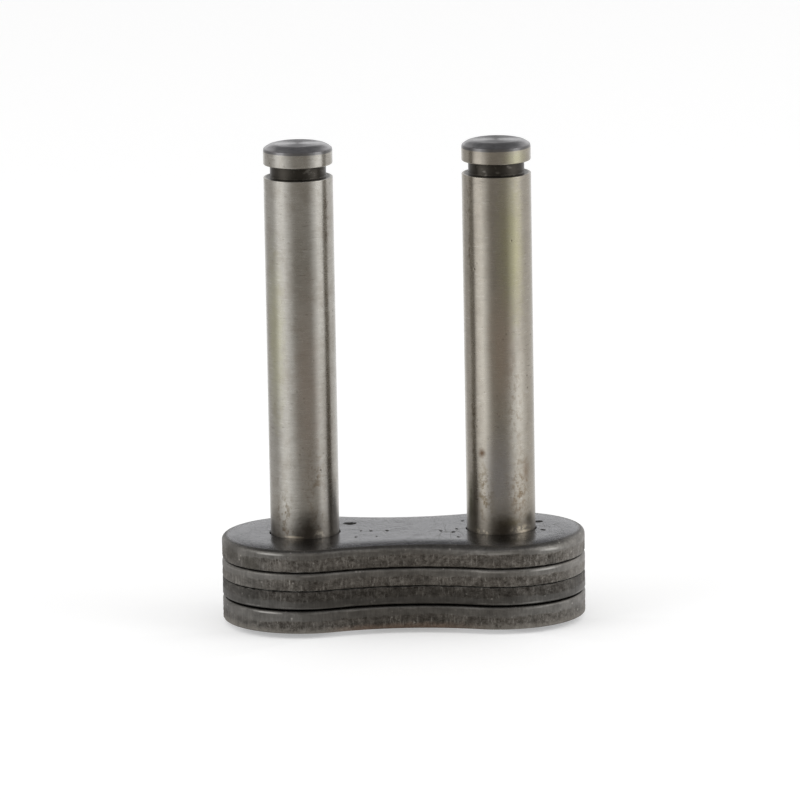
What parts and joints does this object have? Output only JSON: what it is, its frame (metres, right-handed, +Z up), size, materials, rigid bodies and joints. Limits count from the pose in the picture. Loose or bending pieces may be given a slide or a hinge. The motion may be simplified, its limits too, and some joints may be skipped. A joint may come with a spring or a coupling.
{
  "type": "duplex roller chain connecting link",
  "caption": "Connecting link of a two-strand roller chain: bearing pins with clip grooves stand on a fixed plate, with loose middle and outer plates that slide on them.",
  "frame": {"origin": "on the ground under the spread pin ends, midway between the two pins", "axes": "+X from the left pin to the right pin, +Y across the plates, +Z up along the pins towards their clip grooves"},
  "size_m": [0.0234, 0.0108, 0.0313],
  "materials": {
    "pin_steel": "ground bright, with fine scratches and brown stains low down",
    "plate_steel": "dull grey and oily, with punched edges"
  },
  "bodies": {
    "pin_link": {"fixed_outer_plate": "plate_steel", "left_bearing_pin": "pin_steel", "right_bearing_pin": "pin_steel"},
    "lower_middle": {"lower_middle_plate": "plate_steel"},
    "upper_middle": {"upper_middle_plate": "plate_steel"},
    "loose_outer": {"loose_outer_plate": "plate_steel"}
  },
  "joints": [
    {"name": "lower_middle_plate_slide", "type": "slide", "parent": "pin_link", "child": "lower_middle", "axis": [0, 0, 1], "range_m": [0, 0.01143]},
    {"name": "upper_middle_plate_slide", "type": "slide", "parent": "lower_middle", "child": "upper_middle", "axis": [0, 0, 1], "range_m": [0, 0.002]},
    {"name": "loose_outer_plate_slide", "type": "slide", "parent": "upper_middle", "child": "loose_outer", "axis": [0, 0, 1], "range_m": [0, 0.01143]}
  ]
}
